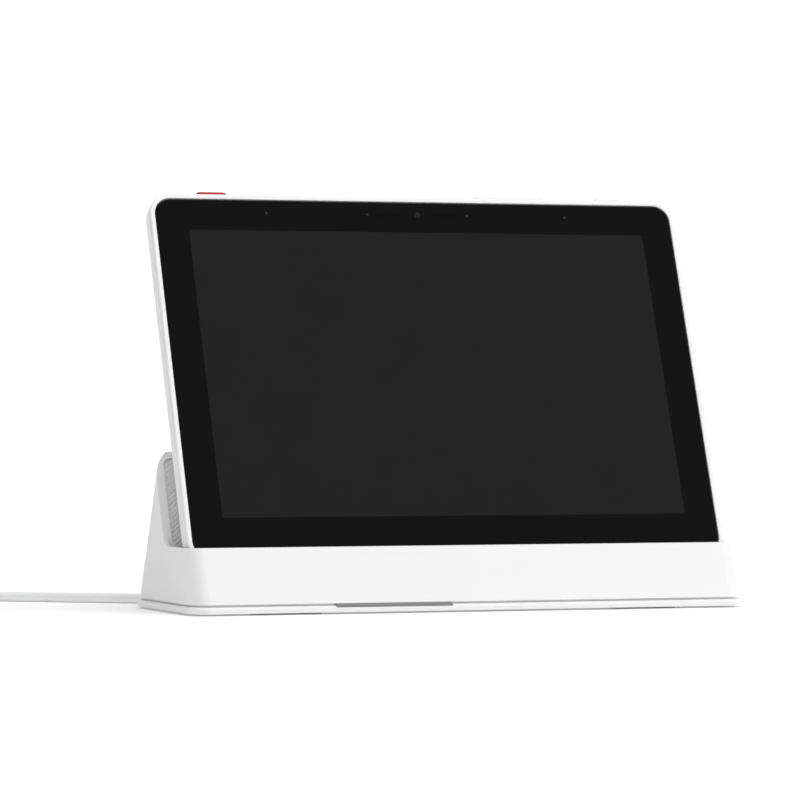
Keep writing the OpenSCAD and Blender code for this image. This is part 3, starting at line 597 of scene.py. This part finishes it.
profile = [(0.9, 0.6), *arc(0.8, 1.4, 0.8, 260, 180, 5), *arc(1.5, 1.6, 1.5, 180, 90, 8), (2.1, 3.1), (2.1, 3.75)]
base = piece("base_tray", "dock", "dock_plastic", *skin([plate_ring(i, z) for i, z in profile]), ["base_plate"])
cut(base, [box_cutter((-51, -38, 2.35), (-8.6, -31.8, 5))])
rounded(base, 0.2, 2, 50)
# The light window's dark grey stands partly for painted shade in the front slot of the base
cad_copy("light_window", 0.15)
cad_copy("feet", 0.3)
cad_copy("cradle_liner", 0.2)

# Pad with slanted ribs, each narrowed to nothing at its ends
pad_w, pad_low, pad_high = 196.9, -56.95, -24.65
rib_w = -20.5
rib_shape = ((-0.52, -20.5), (-0.36, -20.28), (-0.14, -20.11), (0.14, -20.11), (0.36, -20.28), (0.52, -20.5))
screen_plate("backrest_pad_base", "dock", "pad_rubber", -20.98, -20.45, pad_w, pad_high - pad_low, 2.75,
             (0, (pad_low + pad_high) / 2), 0.1, ["backrest_pad"])
slope, pitch, reach = math.tan(math.radians(42)), 1.7, pad_w / 2 - 0.3
shells = []
low, high = pad_low + 0.3, pad_high - 0.3
start = low - slope * reach
for rib in range(int((high + slope * reach - start) / pitch) + 1):
    v0 = start + rib * pitch
    left, right = max(-reach, (low - v0) / slope), min(reach, (high - v0) / slope)
    if right - left < 2:
        continue
    rings = []
    for u, size in ((left, 0.35), (left + 0.5, 1), (right - 0.5, 1), (right, 0.35)):
        v = v0 + slope * u
        rings.append([on_screen(u, v + dv * size, rib_w + (w - rib_w) * size) for dv, w in rib_shape])
    shells.append(skin(rings))
ribs = piece("backrest_ribs", "dock", "pad_rubber", *joined(shells))
for polygon in ribs.data.polygons:
    polygon.use_smooth = True

# ---------------------------------------------------------------- stage
def stage_sheet(name, profile, glow, lights_object=True):
    """A white sheet across the view, through points (y, z), that glows and may or may not light the object."""
    rings = [[Vector((x, y, z)) for x in (-4000, 4000)] for y, z in profile]
    sheet = bpy.data.meshes.new(name)
    sheet.from_pydata([tuple(p * MM) for r in rings for p in r], [],
                      [(2 * i, 2 * i + 1, 2 * i + 3, 2 * i + 2) for i in range(len(rings) - 1)])
    for polygon in sheet.polygons:
        polygon.use_smooth = True
    obj = linked(name, sheet)
    pale, _, _, shader = tree(name + "_white")
    shader.inputs["Base Color"].default_value = (0.9, 0.9, 0.9, 1)
    shader.inputs["Roughness"].default_value = 0.9
    shader.inputs["Emission Color"].default_value = (1, 1, 1, 1)
    shader.inputs["Emission Strength"].default_value = glow
    sheet.materials.append(pale)
    obj.visible_diffuse = lights_object


stage_sheet("floor", [(-4000, 0), (450, 0)], 0.14)
bend = [math.radians(90 * i / 12) for i in range(13)]
wall = [(1500 + 900 * math.sin(a), 900 - 900 * math.cos(a)) for a in bend] + [(2400, 4000)]
stage_sheet("backdrop", [(450, 0)] + wall, 0.55, False)


def area_light(name, at, target, size, power):
    """A square light in metres and watts, turned towards a target."""
    data = bpy.data.lights.new(name, "AREA")
    data.energy = power
    data.size = size
    obj = linked(name, data)
    obj.location = at
    obj.rotation_euler = (Vector(target) - Vector(at)).to_track_quat("-Z", "Y").to_euler()


area_light("key", (2.1, -1.6, 0.9), (0, 0, 0.07), 1.3, 19)
area_light("top", (0.2, -0.3, 2.2), (0, 0, 0), 1.5, 28)

world = bpy.data.worlds.new("world")
bpy.context.scene.world = world
world.use_nodes = True
world.node_tree.nodes["Background"].inputs["Color"].default_value = (1, 1, 1, 1)
world.node_tree.nodes["Background"].inputs["Strength"].default_value = 0.47
bpy.context.scene.view_settings.view_transform = "Standard"

bpy.context.view_layer.update()
